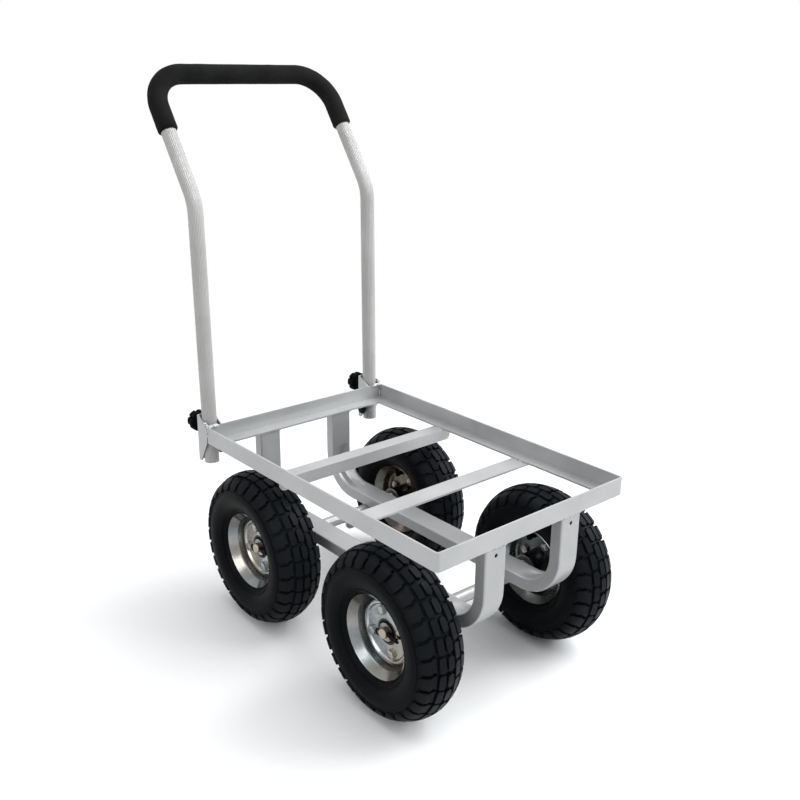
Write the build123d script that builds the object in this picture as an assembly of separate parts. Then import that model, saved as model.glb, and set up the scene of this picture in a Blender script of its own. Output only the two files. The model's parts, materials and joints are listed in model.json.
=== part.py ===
from build123d import *
import math
import os

# Flat-deck harvest cart on four pneumatic wheels, with a push handle that lifts out of two rear pockets.
# Millimetres; +Z is up and +Y points to the handle end. The origin is on the ground under the middle of
# the whole cart, handle included, so the deck's own middle lies a little in front of it.

# Deck: a ring of angle, its lip standing up outside and its flange turned in at the bottom
deck_width = 380
deck_length = 574
lip_height = 28
flange_width = 26
angle_wall = 3
deck_corner_radius = 6
deck_tyre_gap = 27

# Cross bars: angles under the side flanges, their upright legs facing each other
front_bar_width = 34
front_bar_ahead = 84
rear_bar_width = 25.5
rear_bar_behind = 80.5
bar_drop = 20
bar_wall = 3
bar_end_inset = 10
bar_corner_radius = 8

# U-frames: flat tube bent to a U, standing lengthwise under the deck
u_width = 40
u_depth = 20
u_wall = 2
u_edge_radius = 2.5
u_bend_radius = 73
u_inset = 4
u_spacing = 155
post_hole_diameter = 6
post_hole_drop = 14.5

# Axles
sleeve_diameter = 20
rod_diameter = 16
rod_gap = 0.1
rod_end_chamfer = 1.2
front_axle_setback = 126
rear_axle_setback = 117
washer_diameter = 28
washer_wall = 2
washer_gap = 0.4
pin_diameter = 4.4
pin_reach = 23
pin_eye_radius = 4.5
pin_eye_gap = 0.4
pin_eye_thickness = 3.2
pin_tilt = 19
rod_past_pin = 5

# Tyres
wheel_radius = 130
tyre_width = 82
tyre_wall = 6
tyre_frame_gap = 22.5
crown_radius = 55
crown_wall = 4
tread_depth = 5
tread_pitches = 30
tread_groove = 3.5
centre_row_width = 10
side_row_width = 10
shoulder_slit = 3
shoulder_groove = 5
shoulder_width = 10.5
shoulder_inset = 0.8
shoulder_step = 3.5
block_point = 4
block_root = 1.5
clear_sidewall = 0.4
tube_wall = 2
tube_gap = 0.4
valve_diameter = 8
valve_length = 22
valve_gap = 0.3
valve_offset = 8

# Rims: two pressed halves bolted back to back, measured from the wheel's middle plane
rim_wall = 2
rim_plate_margin = 3
rim_well_offset = 3.5
rim_well_rise = 3.2
rim_seat_offset = 14.5
rim_seat_rise = 3
rim_edge_offset = 26.5
rim_edge_rise = 10
rim_bend = 3
bead_gap = 0.4

# Hubs
hub_radius = 22.5
hub_gap = 0.05
hub_inner_reach = 37
hub_flange_radius = 46
hub_flange_wall = 2.5
hub_curl = 2.5
bearing_radius = 20
bearing_width = 12
bearing_gap = 0.05
bearing_ring_wall = 3
bearing_seal_recess = 0.8
bolt_circle_radius = 33
bolt_count = 4
bolt_diameter = 8
bolt_gap = 0.1
bolt_head_width = 13
bolt_head_height = 5
bolt_first_angle = 20

# Handle: one bent tube with a foam grip
leg_diameter = 25
leg_wall = 2
leg_drop = 41
handle_lean = 1.1
crank_rise = 370
crank_angle = 34.8
crank_radius = 70
bar_above_crank = 191
handle_corner_radius = 62
grip_wall = 4
grip_gap = 0.05
grip_leg_reach = 106

# Handle brackets: pockets of bent plate behind the rear rail
bracket_wall = 2.5
leg_side_gap = 0.5
leg_front_gap = 1.7
leg_rear_gap = 0.5
bracket_rise = 14
bracket_fall = 39
bracket_head = 5
bracket_foot = 9

# Clamp screws and set screws on the brackets
stud_diameter = 8
stud_gap = 0.08
stud_tip_gap = 0.3
stud_in_knob = 10
clamp_drop = 6
nut_width = 13
nut_height = 6.5
knob_nut_gap = 0.8
knob_neck_length = 6.5
knob_neck_radius = 8
knob_radius = 18
knob_lobe_radius = 6.5
knob_lobe_circle = 12.5
knob_lobes = 6
knob_thickness = 18
knob_edge = 4
set_screw_diameter = 10
set_screw_gap = 0.1
set_screw_head_width = 17
set_screw_head_height = 6.5
set_screw_drop = 20

# Heights, from the ground up
axle_z = wheel_radius
u_bottom_z = axle_z + sleeve_diameter / 2
deck_bottom_z = 2 * wheel_radius + deck_tyre_gap
deck_top_z = deck_bottom_z + lip_height
lip_middle_z = (deck_bottom_z + deck_top_z) / 2
crank_z = deck_top_z + crank_rise
bar_z = crank_z + bar_above_crank
leg_bottom_z = deck_bottom_z - leg_drop

# Lengthwise places, with the whole cart centred on the origin
leg_radius = leg_diameter / 2
grip_radius = leg_radius + grip_gap + grip_wall
lean_slope = math.tan(math.radians(handle_lean))
crank_slope = math.tan(math.radians(crank_angle))
leg_behind_deck = leg_front_gap + leg_radius
bar_behind_leg = lean_slope * (crank_z - lip_middle_z) + crank_slope * bar_above_crank
rear_overhang = leg_behind_deck + bar_behind_leg + grip_radius
front_overhang = max(wheel_radius - front_axle_setback, 0)
deck_y = (front_overhang - rear_overhang) / 2
deck_front_y = deck_y - deck_length / 2
deck_rear_y = deck_y + deck_length / 2
leg_y = deck_rear_y + leg_behind_deck
bar_y = leg_y + bar_behind_leg
axles = {"front": deck_front_y + front_axle_setback, "rear": deck_rear_y - rear_axle_setback}

# Crosswise places
sides = {"left": -1, "right": 1}
leg_x = deck_width / 2 - bracket_wall - leg_side_gap - leg_radius
wheel_x = u_spacing / 2 + u_width / 2 + tyre_frame_gap + tyre_width / 2

# Brackets and the screws on them
bracket_half_width = leg_radius + leg_side_gap + bracket_wall
bracket_top_z = deck_top_z + bracket_rise
bracket_bottom_z = deck_bottom_z - bracket_fall
web_front_y = leg_y + lean_slope * (bracket_top_z - lip_middle_z) + leg_radius + leg_rear_gap
web_rear_y = web_front_y + bracket_wall
clamp_z = deck_top_z - clamp_drop
set_screw_z = deck_bottom_z - set_screw_drop
knob_neck_y = web_rear_y + nut_height + knob_nut_gap
knob_front_y = knob_neck_y + knob_neck_length
knob_rear_y = knob_front_y + knob_thickness

# Axle stack, outwards from the middle of the cart
rod_radius = rod_diameter / 2
hub_outer_reach = rim_wall + hub_flange_wall
inner_washer_x = wheel_x - hub_inner_reach - washer_gap - washer_wall
outer_washer_x = wheel_x + hub_outer_reach + washer_gap
sleeve_half = inner_washer_x - washer_gap
pin_x = outer_washer_x + washer_wall + washer_gap + pin_diameter / 2
rod_half = pin_x + rod_past_pin

# Rim section on the tyre's side, from the plate out to the edge: (offset from the middle plane, radius)
rim_plate_radius = hub_flange_radius + rim_plate_margin
rim_well = (rim_well_offset, rim_plate_radius + rim_well_rise)
rim_seat = (rim_seat_offset, rim_well[1] + rim_seat_rise)
rim_edge = (rim_edge_offset, rim_seat[1] + rim_edge_rise)


def crown_point(across):
    """A point on the tyre's round crown."""
    return (across, wheel_radius - crown_radius + math.sqrt(crown_radius**2 - across**2))


def moved_in(line, depth):
    """The corners of a line over the crown, moved in by a depth square to each of its runs."""
    moved = offset(Polyline(*line), depth, kind=Kind.INTERSECTION, side=Side.RIGHT, closed=False)
    return sorted((corner.X, corner.Y) for corner in moved.vertices())


def sidewall(top):
    """The bulge of the tyre's side, from its widest point up to the end of a line over the crown."""
    return TangentArc(sidewall_widest, top, tangent=(0, 1))


# Tyre section on one side of the middle plane: (offset, radius)
groove_middle = (centre_row_width + tread_groove) / 2
slit_middle = groove_middle + side_row_width + (tread_groove + shoulder_slit) / 2
crown = [(0, wheel_radius), (groove_middle, wheel_radius)]
crown += [crown_point(slit_middle), crown_point(slit_middle + shoulder_width)]
tread_floor = moved_in(crown, tread_depth)
lining = moved_in(crown, tread_depth + crown_wall)
sidewall_widest = (tyre_width / 2, (rim_edge[1] + crown[-1][1]) / 2)
bead = [(across - bead_gap, radius + bead_gap) for across, radius in (rim_edge, rim_seat)]
lining_widest = (sidewall_widest[0] - tyre_wall, sidewall_widest[1])
lining_low = (rim_seat[0] - bead_gap, rim_seat[1] + tyre_wall)
clear_end = sidewall(tread_floor[-1]) @ clear_sidewall
shoulder_end = (clear_end.X, clear_end.Y)


def leg_axis_y(z):
    """Where the lower part of a handle leg stands at height z."""
    return leg_y + lean_slope * (z - lip_middle_z)


def along_x(start, end, y, z, sketch):
    """A sketch drawn about its centre, extruded along X from start to end."""
    plane = Plane(origin=(start, y, z), x_dir=(0, 1, 0), z_dir=(1, 0, 0))
    return extrude(plane * sketch, end - start)


def along_y(x, z, start, end, sketch):
    """A sketch drawn about its centre, extruded along Y from start to end."""
    plane = Plane(origin=(x, start, z), x_dir=(1, 0, 0), z_dir=(0, 1, 0))
    return extrude(plane * sketch, end - start)


def ring(outer, inner):
    return Circle(outer) - Circle(inner)


def hexagon(across_flats):
    return RegularPolygon(across_flats / 2, 6, major_radius=False)


def group(solids):
    return Compound(children=solids)


def deck_frame():
    outline = RectangleRounded(deck_width, deck_length, deck_corner_radius)
    inside = RectangleRounded(
        deck_width - 2 * angle_wall, deck_length - 2 * angle_wall, deck_corner_radius - angle_wall
    )
    opening = Rectangle(deck_width - 2 * flange_width, deck_length - 2 * flange_width)
    lip = extrude(outline - inside, lip_height)
    flange = extrude(outline - opening, angle_wall)
    return Pos(0, deck_y, deck_bottom_z) * (lip + flange)


def cross_bar(leg_face_y, width, toward):
    """An angle with its upright leg's outer face at leg_face_y and its plate reaching toward +Y or -Y."""
    length = deck_width - 2 * bar_end_inset
    plate = Box(length, width, bar_wall, align=(Align.CENTER, Align.MIN, Align.MAX))
    outline = Rectangle(length, bar_drop, align=(Align.CENTER, Align.MAX))
    outline = fillet(outline.vertices().group_by(Axis.Y)[0], bar_corner_radius)
    leg = extrude(Plane.XZ * outline, -bar_wall)
    bar = plate + leg
    if toward < 0:
        bar = mirror(bar, Plane.XZ)
    return Pos(0, leg_face_y, deck_bottom_z) * bar


def u_frame(side):
    """Flat tube swept down one post, along under the deck and up the other post."""
    x = side * u_spacing / 2
    front = deck_front_y + u_inset + u_depth / 2
    rear = deck_rear_y - u_inset - u_depth / 2
    low = u_bottom_z + u_depth / 2
    corners = [(x, front, deck_bottom_z), (x, front, low), (x, rear, low), (x, rear, deck_bottom_z)]
    path = FilletPolyline(*corners, radius=u_bend_radius - u_depth / 2)
    section = RectangleRounded(u_width, u_depth, u_edge_radius)
    section -= Rectangle(u_width - 2 * u_wall, u_depth - 2 * u_wall)
    start = Plane(origin=corners[0], x_dir=(1, 0, 0), z_dir=(0, 0, -1))
    tube = sweep(start * section, path=path)
    face_y = deck_front_y + u_inset
    hole = Circle(post_hole_diameter / 2)
    return tube - along_y(x, deck_bottom_z - post_hole_drop, face_y - u_wall, face_y + 2 * u_wall, hole)


def axle_sleeve(y):
    return along_x(-sleeve_half, sleeve_half, y, axle_z, ring(sleeve_diameter / 2, rod_radius + rod_gap))


def pin_place(side, y):
    """The frame of a cotter pin, its own Y along the pin, at the pin hole of one axle end."""
    return Pos(side * pin_x, y, axle_z) * Rot(-pin_tilt, 0, 0)


def axle_rod(y):
    rod = along_x(-rod_half, rod_half, y, axle_z, Circle(rod_radius))
    rod = chamfer(rod.edges(), rod_end_chamfer)
    hole = along_y(0, 0, -rod_diameter, rod_diameter, Circle(pin_diameter / 2 + rod_gap))
    return rod - [pin_place(side, y) * hole for side in sides.values()]


def axle_washers():
    """One washer on each face of each hub."""
    section = ring(washer_diameter / 2, rod_radius + rod_gap)
    washers = []
    for y in axles.values():
        for start in (inner_washer_x, outer_washer_x):
            washers.append(along_x(start, start + washer_wall, y, axle_z, section))
            washers.append(along_x(-start, -start - washer_wall, y, axle_z, section))
    return group(washers)


def cotter_pins():
    """A pin across each axle end, its eye behind the axle and its shank reaching forwards."""
    pin_radius = pin_diameter / 2
    eye_y = rod_radius + pin_eye_gap + pin_eye_radius + pin_radius
    eye = ring(pin_eye_radius + pin_radius, pin_eye_radius - pin_radius)
    pin = along_x(-pin_eye_thickness / 2, pin_eye_thickness / 2, eye_y, 0, eye)
    pin += along_y(0, 0, -pin_reach, eye_y - pin_eye_radius, Circle(pin_radius))
    return group([pin_place(side, y) * pin for y in axles.values() for side in sides.values()])


def bracket_flange(front_y):
    """Side view of a bracket flange: as tall as the rail in front, longer up and down at the web."""
    outline = Polyline(
        (front_y, deck_bottom_z),
        (front_y, deck_top_z),
        (web_rear_y - bracket_head, bracket_top_z),
        (web_rear_y, bracket_top_z),
        (web_rear_y, bracket_bottom_z),
        (web_rear_y - bracket_foot, bracket_bottom_z),
        close=True,
    )
    return make_face(outline)


def bracket(side):
    """A U of bent plate: a full-height web behind the leg and a tapered flange on each side of it."""
    x = side * leg_x
    # The outer flange reaches forwards round the deck's bent corner until it meets the lip.
    corner_step = deck_corner_radius - bracket_wall
    corner_reach = deck_corner_radius - math.sqrt(deck_corner_radius**2 - corner_step**2)
    fronts = {side: deck_rear_y - corner_reach, -side: deck_rear_y}
    height = bracket_top_z - bracket_bottom_z
    web = Box(2 * bracket_half_width, bracket_wall, height, align=(Align.CENTER, Align.MAX, Align.MIN))
    body = Pos(x, web_rear_y, bracket_bottom_z) * web
    for way, front_y in fronts.items():
        pocket_x = x + way * (bracket_half_width - bracket_wall)
        plane = Plane(origin=(pocket_x, 0, 0), x_dir=(0, 1, 0), z_dir=(1, 0, 0))
        body += extrude(plane * bracket_flange(front_y), way * bracket_wall)
    body = fillet(body.edges().filter_by(Axis.Z).group_by(Axis.Y)[-1], bracket_wall)
    stud_hole = Circle(stud_diameter / 2 + stud_gap)
    body -= along_y(x, clamp_z, web_front_y - bracket_wall, web_rear_y + bracket_wall, stud_hole)
    inner_x = x - side * bracket_half_width
    screw_hole = Circle(set_screw_diameter / 2 + set_screw_gap)
    across = side * 2 * bracket_wall
    return body - along_x(inner_x - across, inner_x + across, leg_y, set_screw_z, screw_hole)


def weld_nuts():
    section = hexagon(nut_width) - Circle(stud_diameter / 2 + stud_gap)
    nut = along_y(0, clamp_z, web_rear_y, web_rear_y + nut_height, section)
    return group([Pos(side * leg_x, 0, 0) * nut for side in sides.values()])


def set_screws():
    """A hex-headed screw in each inner flange, its tip level with the pocket wall."""
    screws = []
    for side in sides.values():
        face = side * (leg_x - bracket_half_width)
        head_end = face - side * set_screw_head_height
        tip = face + side * bracket_wall
        screw = along_x(face, head_end, leg_y, set_screw_z, hexagon(set_screw_head_width))
        screw += along_x(face, tip, leg_y, set_screw_z, Circle(set_screw_diameter / 2))
        screws.append(screw)
    return group(screws)


def clamp_stud(side):
    """A stud from just behind the leg, through web and nut, into the knob."""
    tip_y = leg_axis_y(clamp_z) + leg_radius / math.cos(math.radians(handle_lean)) + stud_tip_gap
    return along_y(side * leg_x, clamp_z, tip_y, knob_front_y + stud_in_knob, Circle(stud_diameter / 2))


def star_knob(side):
    """A lobed knob on a tapered neck, moulded round the stud."""
    x = side * leg_x
    outline = Circle(knob_lobe_circle)
    outline += PolarLocations(knob_lobe_circle, knob_lobes) * Circle(knob_lobe_radius)
    drum = along_y(x, clamp_z, knob_front_y, knob_rear_y, Circle(knob_radius))
    drum = fillet(drum.edges().filter_by(GeomType.CIRCLE), knob_edge)
    body = along_y(x, clamp_z, knob_front_y, knob_rear_y, outline) & drum
    neck_plane = Plane(origin=(x, knob_neck_y, clamp_z), x_dir=(1, 0, 0), z_dir=(0, 1, 0))
    neck_end = neck_plane.offset(knob_neck_length)
    body += loft([neck_plane * Circle(knob_neck_radius), neck_end * Circle(knob_lobe_circle)])
    return body - along_y(
        x, clamp_z, knob_neck_y - knob_nut_gap, knob_front_y + stud_in_knob, Circle(stud_diameter / 2)
    )


def swept_tube(points, radii, outer, inner):
    """A round tube along straight runs with a bend of the given centre-line radius at each corner."""
    path = FilletPolyline(*points, radius=radii)
    start = Plane(origin=path @ 0, x_dir=(1, 0, 0), z_dir=path % 0)
    return sweep(start * ring(outer, inner), path=path)


def handle_tube():
    feet_y = leg_axis_y(leg_bottom_z)
    crank_y = leg_axis_y(crank_z)
    left = [(-leg_x, feet_y, leg_bottom_z), (-leg_x, crank_y, crank_z), (-leg_x, bar_y, bar_z)]
    right = [(leg_x, y, z) for _, y, z in reversed(left)]
    radii = [crank_radius, handle_corner_radius, handle_corner_radius, crank_radius]
    return swept_tube(left + right, radii, leg_radius, leg_radius - leg_wall)


def foam_grip():
    down = math.radians(crank_angle)
    end_y = bar_y - grip_leg_reach * math.sin(down)
    end_z = bar_z - grip_leg_reach * math.cos(down)
    left = [(-leg_x, end_y, end_z), (-leg_x, bar_y, bar_z)]
    right = [(leg_x, y, z) for _, y, z in reversed(left)]
    return swept_tube(left + right, handle_corner_radius, grip_radius, leg_radius + grip_gap)


def turned(points):
    """A closed outline of (offset, radius) points turned round the wheel's axle."""
    return revolve(make_face(Polyline(*points, close=True)), Axis.X)


def bolt_places():
    """The rim bolts' places round the axle."""
    angles = [bolt_first_angle + 360 / bolt_count * index for index in range(bolt_count)]
    return [Rot(angle, 0, 0) * Pos(0, bolt_circle_radius, 0) for angle in angles]


def bolt_holes():
    hole = along_x(-hub_inner_reach, hub_inner_reach, 0, 0, Circle(bolt_diameter / 2 + bolt_gap))
    return [place * hole for place in bolt_places()]


def outer_rim():
    """Half of the split rim: sheet pressed into a flat plate, a well, a bead seat and a flared edge."""
    bore = (0, hub_radius + hub_gap)
    line = FilletPolyline(bore, (0, rim_plate_radius), rim_well, rim_seat, rim_edge, radius=rim_bend)
    sheet = make_face(offset(line, rim_wall, kind=Kind.INTERSECTION, side=Side.RIGHT, closed=True))
    return revolve(sheet, Axis.X) - bolt_holes()


def valve_stem(radius):
    """A bar from the air tube's wall towards the axle, half-way between two rim bolts."""
    top = lining_low[1] + tube_gap + tube_wall / 2
    start = Plane(origin=(-valve_offset, top, 0), x_dir=(1, 0, 0), z_dir=(0, -1, 0))
    bar = extrude(start * Circle(radius), valve_length)
    return Rot(bolt_first_angle + 180 / bolt_count, 0, 0) * bar


def inner_rim():
    return mirror(outer_rim(), Plane.YZ) - valve_stem(valve_diameter / 2 + valve_gap)


def hub():
    """A tube for the bearings with a flange on the outer rim plate, the flange's edge curled outwards."""
    curl_end = hub_outer_reach + hub_curl
    tube = turned(
        [
            (-hub_inner_reach, bearing_radius),
            (-hub_inner_reach, hub_radius),
            (rim_wall, hub_radius),
            (rim_wall, hub_flange_radius),
            (curl_end, hub_flange_radius),
            (curl_end, hub_flange_radius - hub_flange_wall),
            (hub_outer_reach, hub_flange_radius - hub_flange_wall - hub_curl),
            (hub_outer_reach, bearing_radius),
        ]
    )
    return tube - bolt_holes()


def bearing(start):
    """A sealed bearing: an outer and an inner ring, and the seal set back between them."""
    end = start + bearing_width
    outer = bearing_radius
    bore = rod_radius + bearing_gap
    seal = end - bearing_seal_recess
    return turned(
        [
            (start, bore),
            (start, outer),
            (end, outer),
            (end, outer - bearing_ring_wall),
            (seal, outer - bearing_ring_wall),
            (seal, bore + bearing_ring_wall),
            (end, bore + bearing_ring_wall),
            (end, bore),
        ]
    )


def bearings():
    return group([bearing(-hub_inner_reach), bearing(hub_outer_reach - bearing_width)])


def rim_bolts():
    """Hex bolts through the hub flange and both rim plates, each with its nut."""
    bolt = along_x(hub_outer_reach, hub_outer_reach + bolt_head_height, 0, 0, hexagon(bolt_head_width))
    bolt += along_x(-rim_wall, hub_outer_reach, 0, 0, Circle(bolt_diameter / 2))
    bolt += along_x(-rim_wall, -rim_wall - bolt_head_height, 0, 0, hexagon(bolt_head_width))
    return group([place * bolt for place in bolt_places()])


def both_sides(section):
    """Half a tyre's section turned round the axle, and its mirror image."""
    half = revolve(section, Axis.X)
    return half + mirror(half, Plane.YZ)


def carcass():
    """The hollow tyre up to the floor of its tread."""
    outside = Polyline(*tread_floor).edges() + [sidewall(tread_floor[-1])]
    foot = TangentArc(sidewall_widest, bead[0], tangent=(0, -1))
    inside = Polyline(*bead, lining_low, lining_widest, *reversed(lining), tread_floor[0])
    return both_sides(make_face([*outside, foot, *inside.edges()]))


def tread_envelope():
    """The solid that the tops of all tread blocks are trimmed to."""
    widest = (sidewall_widest[0] - shoulder_inset, shoulder_end[1])
    flank = TangentArc(widest, crown[-1], tangent=(0, 1))
    core = Polyline(widest, (0, widest[1]), crown[0])
    return both_sides(make_face([*Polyline(*crown).edges(), flank, *core.edges()]))


def half_block(radius, gap):
    """Half the length of a tread block round the wheel at a radius, with a gap to the next block."""
    return math.pi * radius / tread_pitches - gap / 2


def centre_outline():
    """A lozenge, pointed at both ends."""
    tip = half_block(wheel_radius, tread_groove)
    half_width = centre_row_width / 2
    corners = [(0, tip), (half_width, tip - block_point), (half_width, block_point - tip)]
    return make_face(Polyline(*corners, *[(-x, -y) for x, y in corners], close=True))


def side_outline():
    """A bar with its corners cut off."""
    outline = Rectangle(side_row_width, 2 * half_block(crown[2][1], tread_groove))
    return chamfer(outline.vertices(), block_point / 2)


def shoulder_outline(start, end):
    """A tapering block that steps sideways beside the slit, with its lower corners cut off."""
    half_width = (math.dist(start, end) - shoulder_slit) / 2
    upper = half_block(start[1], shoulder_groove)
    lower = half_block(end[1], shoulder_groove)
    taper = (upper - lower) / (2 * half_width)
    step_end = shoulder_step - half_width
    line = [(-half_width, -shoulder_step), (step_end, -shoulder_step)]
    line += [(step_end + shoulder_step, 0), (half_width, 0)]
    near = [(x, y + lower + taper * (half_width - x)) for x, y in line]
    far = [(x, y - lower - taper * (half_width - x)) for x, y in line]
    outline = make_face(Polyline(*near, *reversed(far), close=True))
    return chamfer(outline.vertices().group_by(Axis.X)[-1], block_point)


def tread_block(outline, start, end):
    """A block standing on the tread's floor from start to end, rooted in the wall and trimmed on top."""
    middle = [(a + b) / 2 for a, b in zip(start, end)]
    tilt = math.degrees(math.atan2(start[1] - end[1], end[0] - start[0]))
    foot = Pos(middle[0], 0, middle[1]) * Rot(0, tilt, 0) * Pos(0, 0, -block_root)
    return extrude(foot * outline, 3 * tread_depth) & tread_envelope()


def tyre():
    """A hollow tyre with lozenge blocks round its middle and two rows of blocks on each side of them."""
    floor_middle = (0, tread_floor[0][1])
    shoulder_ends = (tread_floor[2], shoulder_end)
    centre = tread_block(centre_outline(), floor_middle, floor_middle)
    side = tread_block(side_outline(), *tread_floor[1:3])
    shoulder = tread_block(shoulder_outline(*shoulder_ends), *shoulder_ends)
    rows = [(block, 0) for block in (centre, side, shoulder)]
    # The far side's rows lie half a pitch round from the near side's.
    rows += [(mirror(block, Plane.YZ), 0.5) for block in (side, shoulder)]
    pitch = 360 / tread_pitches
    blocks = []
    for block, phase in rows:
        blocks += [Rot((index + phase) * pitch, 0, 0) * block for index in range(tread_pitches)]
    return carcass() + blocks


def inner_tube():
    """The air tube that fills the tyre, with its valve stem through the inner rim half."""
    half = [lining_low, lining_widest, *reversed(lining[1:])]
    other_half = [(-across, radius) for across, radius in reversed(half)]
    cavity = make_face(Polyline(*half, *other_half, close=True))
    outside = offset(cavity, -tube_gap, kind=Kind.INTERSECTION)
    section = outside - offset(outside, -tube_wall, kind=Kind.INTERSECTION)
    return revolve(section, Axis.X) + valve_stem(valve_diameter / 2)


def wheel_place(axle_y, side):
    """Puts a piece of a wheel, drawn with +X outwards, on one axle end."""
    turn = 0 if side > 0 else 180
    return Pos(side * wheel_x, axle_y, axle_z) * Rot(0, 0, turn)


pieces = {
    "deck_frame": deck_frame(),
    "front_cross_bar": cross_bar(deck_y - front_bar_ahead, front_bar_width, -1),
    "rear_cross_bar": cross_bar(deck_y + rear_bar_behind, rear_bar_width, 1),
    "axle_washers": axle_washers(),
    "cotter_pins": cotter_pins(),
    "weld_nuts": weld_nuts(),
    "set_screws": set_screws(),
    "handle_tube": handle_tube(),
    "foam_grip": foam_grip(),
}
for side_name, side in sides.items():
    pieces[side_name + "_u_frame"] = u_frame(side)
    pieces[side_name + "_bracket"] = bracket(side)
    pieces[side_name + "_clamp_stud"] = clamp_stud(side)
    pieces[side_name + "_star_knob"] = star_knob(side)
for axle_name, axle_y in axles.items():
    pieces[axle_name + "_axle_sleeve"] = axle_sleeve(axle_y)
    pieces[axle_name + "_axle_rod"] = axle_rod(axle_y)
for make in (tyre, inner_tube, outer_rim, inner_rim, hub, bearings, rim_bolts):
    piece = make()
    for axle_name, axle_y in axles.items():
        for side_name, side in sides.items():
            pieces[f"{axle_name}_{side_name}_{make.__name__}"] = wheel_place(axle_y, side) * piece

os.makedirs("parts", exist_ok=True)
for name, piece in pieces.items():
    export_step(piece, f"parts/{name}.step")
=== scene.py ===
import json
import math

import bmesh
import bpy
from mathutils import Matrix, Vector, noise

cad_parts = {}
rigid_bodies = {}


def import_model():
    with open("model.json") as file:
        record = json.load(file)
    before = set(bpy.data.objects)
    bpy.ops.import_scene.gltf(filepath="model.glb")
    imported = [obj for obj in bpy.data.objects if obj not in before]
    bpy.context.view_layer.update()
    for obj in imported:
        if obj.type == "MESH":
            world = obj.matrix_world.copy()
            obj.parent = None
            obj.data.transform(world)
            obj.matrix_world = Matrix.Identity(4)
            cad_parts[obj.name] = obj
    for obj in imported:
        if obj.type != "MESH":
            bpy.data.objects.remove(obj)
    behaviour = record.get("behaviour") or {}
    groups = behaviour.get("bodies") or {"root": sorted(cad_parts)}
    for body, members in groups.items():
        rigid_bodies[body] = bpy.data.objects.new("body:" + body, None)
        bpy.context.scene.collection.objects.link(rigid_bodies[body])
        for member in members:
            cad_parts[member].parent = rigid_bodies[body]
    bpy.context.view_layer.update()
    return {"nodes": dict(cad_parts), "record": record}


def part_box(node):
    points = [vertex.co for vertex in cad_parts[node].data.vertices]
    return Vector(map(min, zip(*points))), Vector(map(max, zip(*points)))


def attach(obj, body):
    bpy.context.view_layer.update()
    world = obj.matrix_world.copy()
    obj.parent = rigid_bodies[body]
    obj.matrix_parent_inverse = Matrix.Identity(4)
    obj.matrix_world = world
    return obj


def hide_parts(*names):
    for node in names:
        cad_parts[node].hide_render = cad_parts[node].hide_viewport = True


for stray in list(bpy.data.objects):
    bpy.data.objects.remove(stray)
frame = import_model()
nodes = frame["nodes"]

# Sizes of the cart in metres, as in its CAD source
DECK_Y = -0.083436
LIP_MIDDLE_Z = 0.301
FLANGE_WIDTH = 0.026
ANGLE_WALL = 0.003
LEG_X = 0.1745
LEG_Y = 0.217764
LEAN = math.radians(1.1)
CRANK_Z = 0.685
TUBE_RADIUS = 0.0125
GRIP_RADIUS = 0.01655
HANDLE_SLOPE = math.radians(34.8)
HANDLE_CORNER = 0.062
GRIP_LEG = 0.106
U_X = 0.0775
U_WIDTH = 0.04
U_DEPTH = 0.02
U_WALL = 0.002
U_POST_FROM_MIDDLE = 0.273
U_BEND_FROM_MIDDLE = 0.21
U_BEND_Z = 0.213
U_BEND_INSIDE = 0.053
AXLE_Z = 0.13
AXLE_END = 0.1755
PIN_X = 0.1705
PIN_TILT = math.radians(19)
PIN_EYE = 0.0151
PIN_WIRE = 0.0011
SLEEVE_RADIUS = 0.01
FRONT_AXLE_Y = -0.244436
REAR_AXLE_Y = 0.086564
WHEEL_X = 0.161
BOLT_CIRCLE = 0.033
BOLT_FIRST = math.radians(20)
BOLT_WIDTH = 0.013
BOLT_HEAD = 0.005
BOLT_RADIUS = 0.004
HUB_FACE = 0.0045
RIM_WALL = 0.002
BEARING_SEAL = (0.0112, 0.0169)
SEAL_RECESS = 0.0008
VALVE_OFFSET = -0.008
VALVE_END = 0.0406
VALVE_RADIUS = 0.004
SIDEWALL_LOWER = (0.008385, 0.092984, 0.032615)
SIDEWALL_UPPER = (0.013313, 0.092984, 0.027687)
CLAMP_Z = 0.309
NUT_WIDTH = 0.013
NUT_BORE = 0.0041
SET_SCREW_WIDTH = 0.017
SET_SCREW_HEAD = 0.0065
SET_SCREW_SHANK = 0.005
BRACKET_WALL = 0.0025

# The photograph's camera: place and aim over the deck's middle, lens for a 36 mm wide sensor
CAMERA_PLACE = Vector((-0.9287, -1.0662 + DECK_Y, 0.8927))
CAMERA_AIM = Vector((-0.0353, -0.0324 + DECK_Y, 0.4169))
CAMERA_ROLL = math.radians(0.714)
CAMERA_LENS = 43.15

# Sizes of the details, finishes and painted shade that only this scene has
SHARP_EDGE = math.radians(35)
HANDLE_RIBS = 30
RIB_DEPTH = 0.0004
BEND_DENT = 0.0045
# Painted shade inside the U-frames' posts
HOLLOW_PAINTED_SHADE = (0.04, 0.04, 0.04)
# Radii at which the painted shade on the wheels' inner sides lifts towards the lip
INNER_LIP = (0.045, 0.055)
TREAD_TONE_RADII = (0.106, 0.12)
PIN_LEG_AND_SHADOW = 0.0021
SIDEWALL_RIB = 0.0009
WASHER_WALL = 0.0008
THREAD_LENGTH = 0.0024
WELD_STEP = 0.0011
WELD_PITCH = 0.0042
WELD_SIDES = 10
WELD_GRAIN = 420
FLOOR_RADIUS = 14
FLOOR_FADE = (0.45, 1.5)
WHITE = (1, 1, 1)


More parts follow.
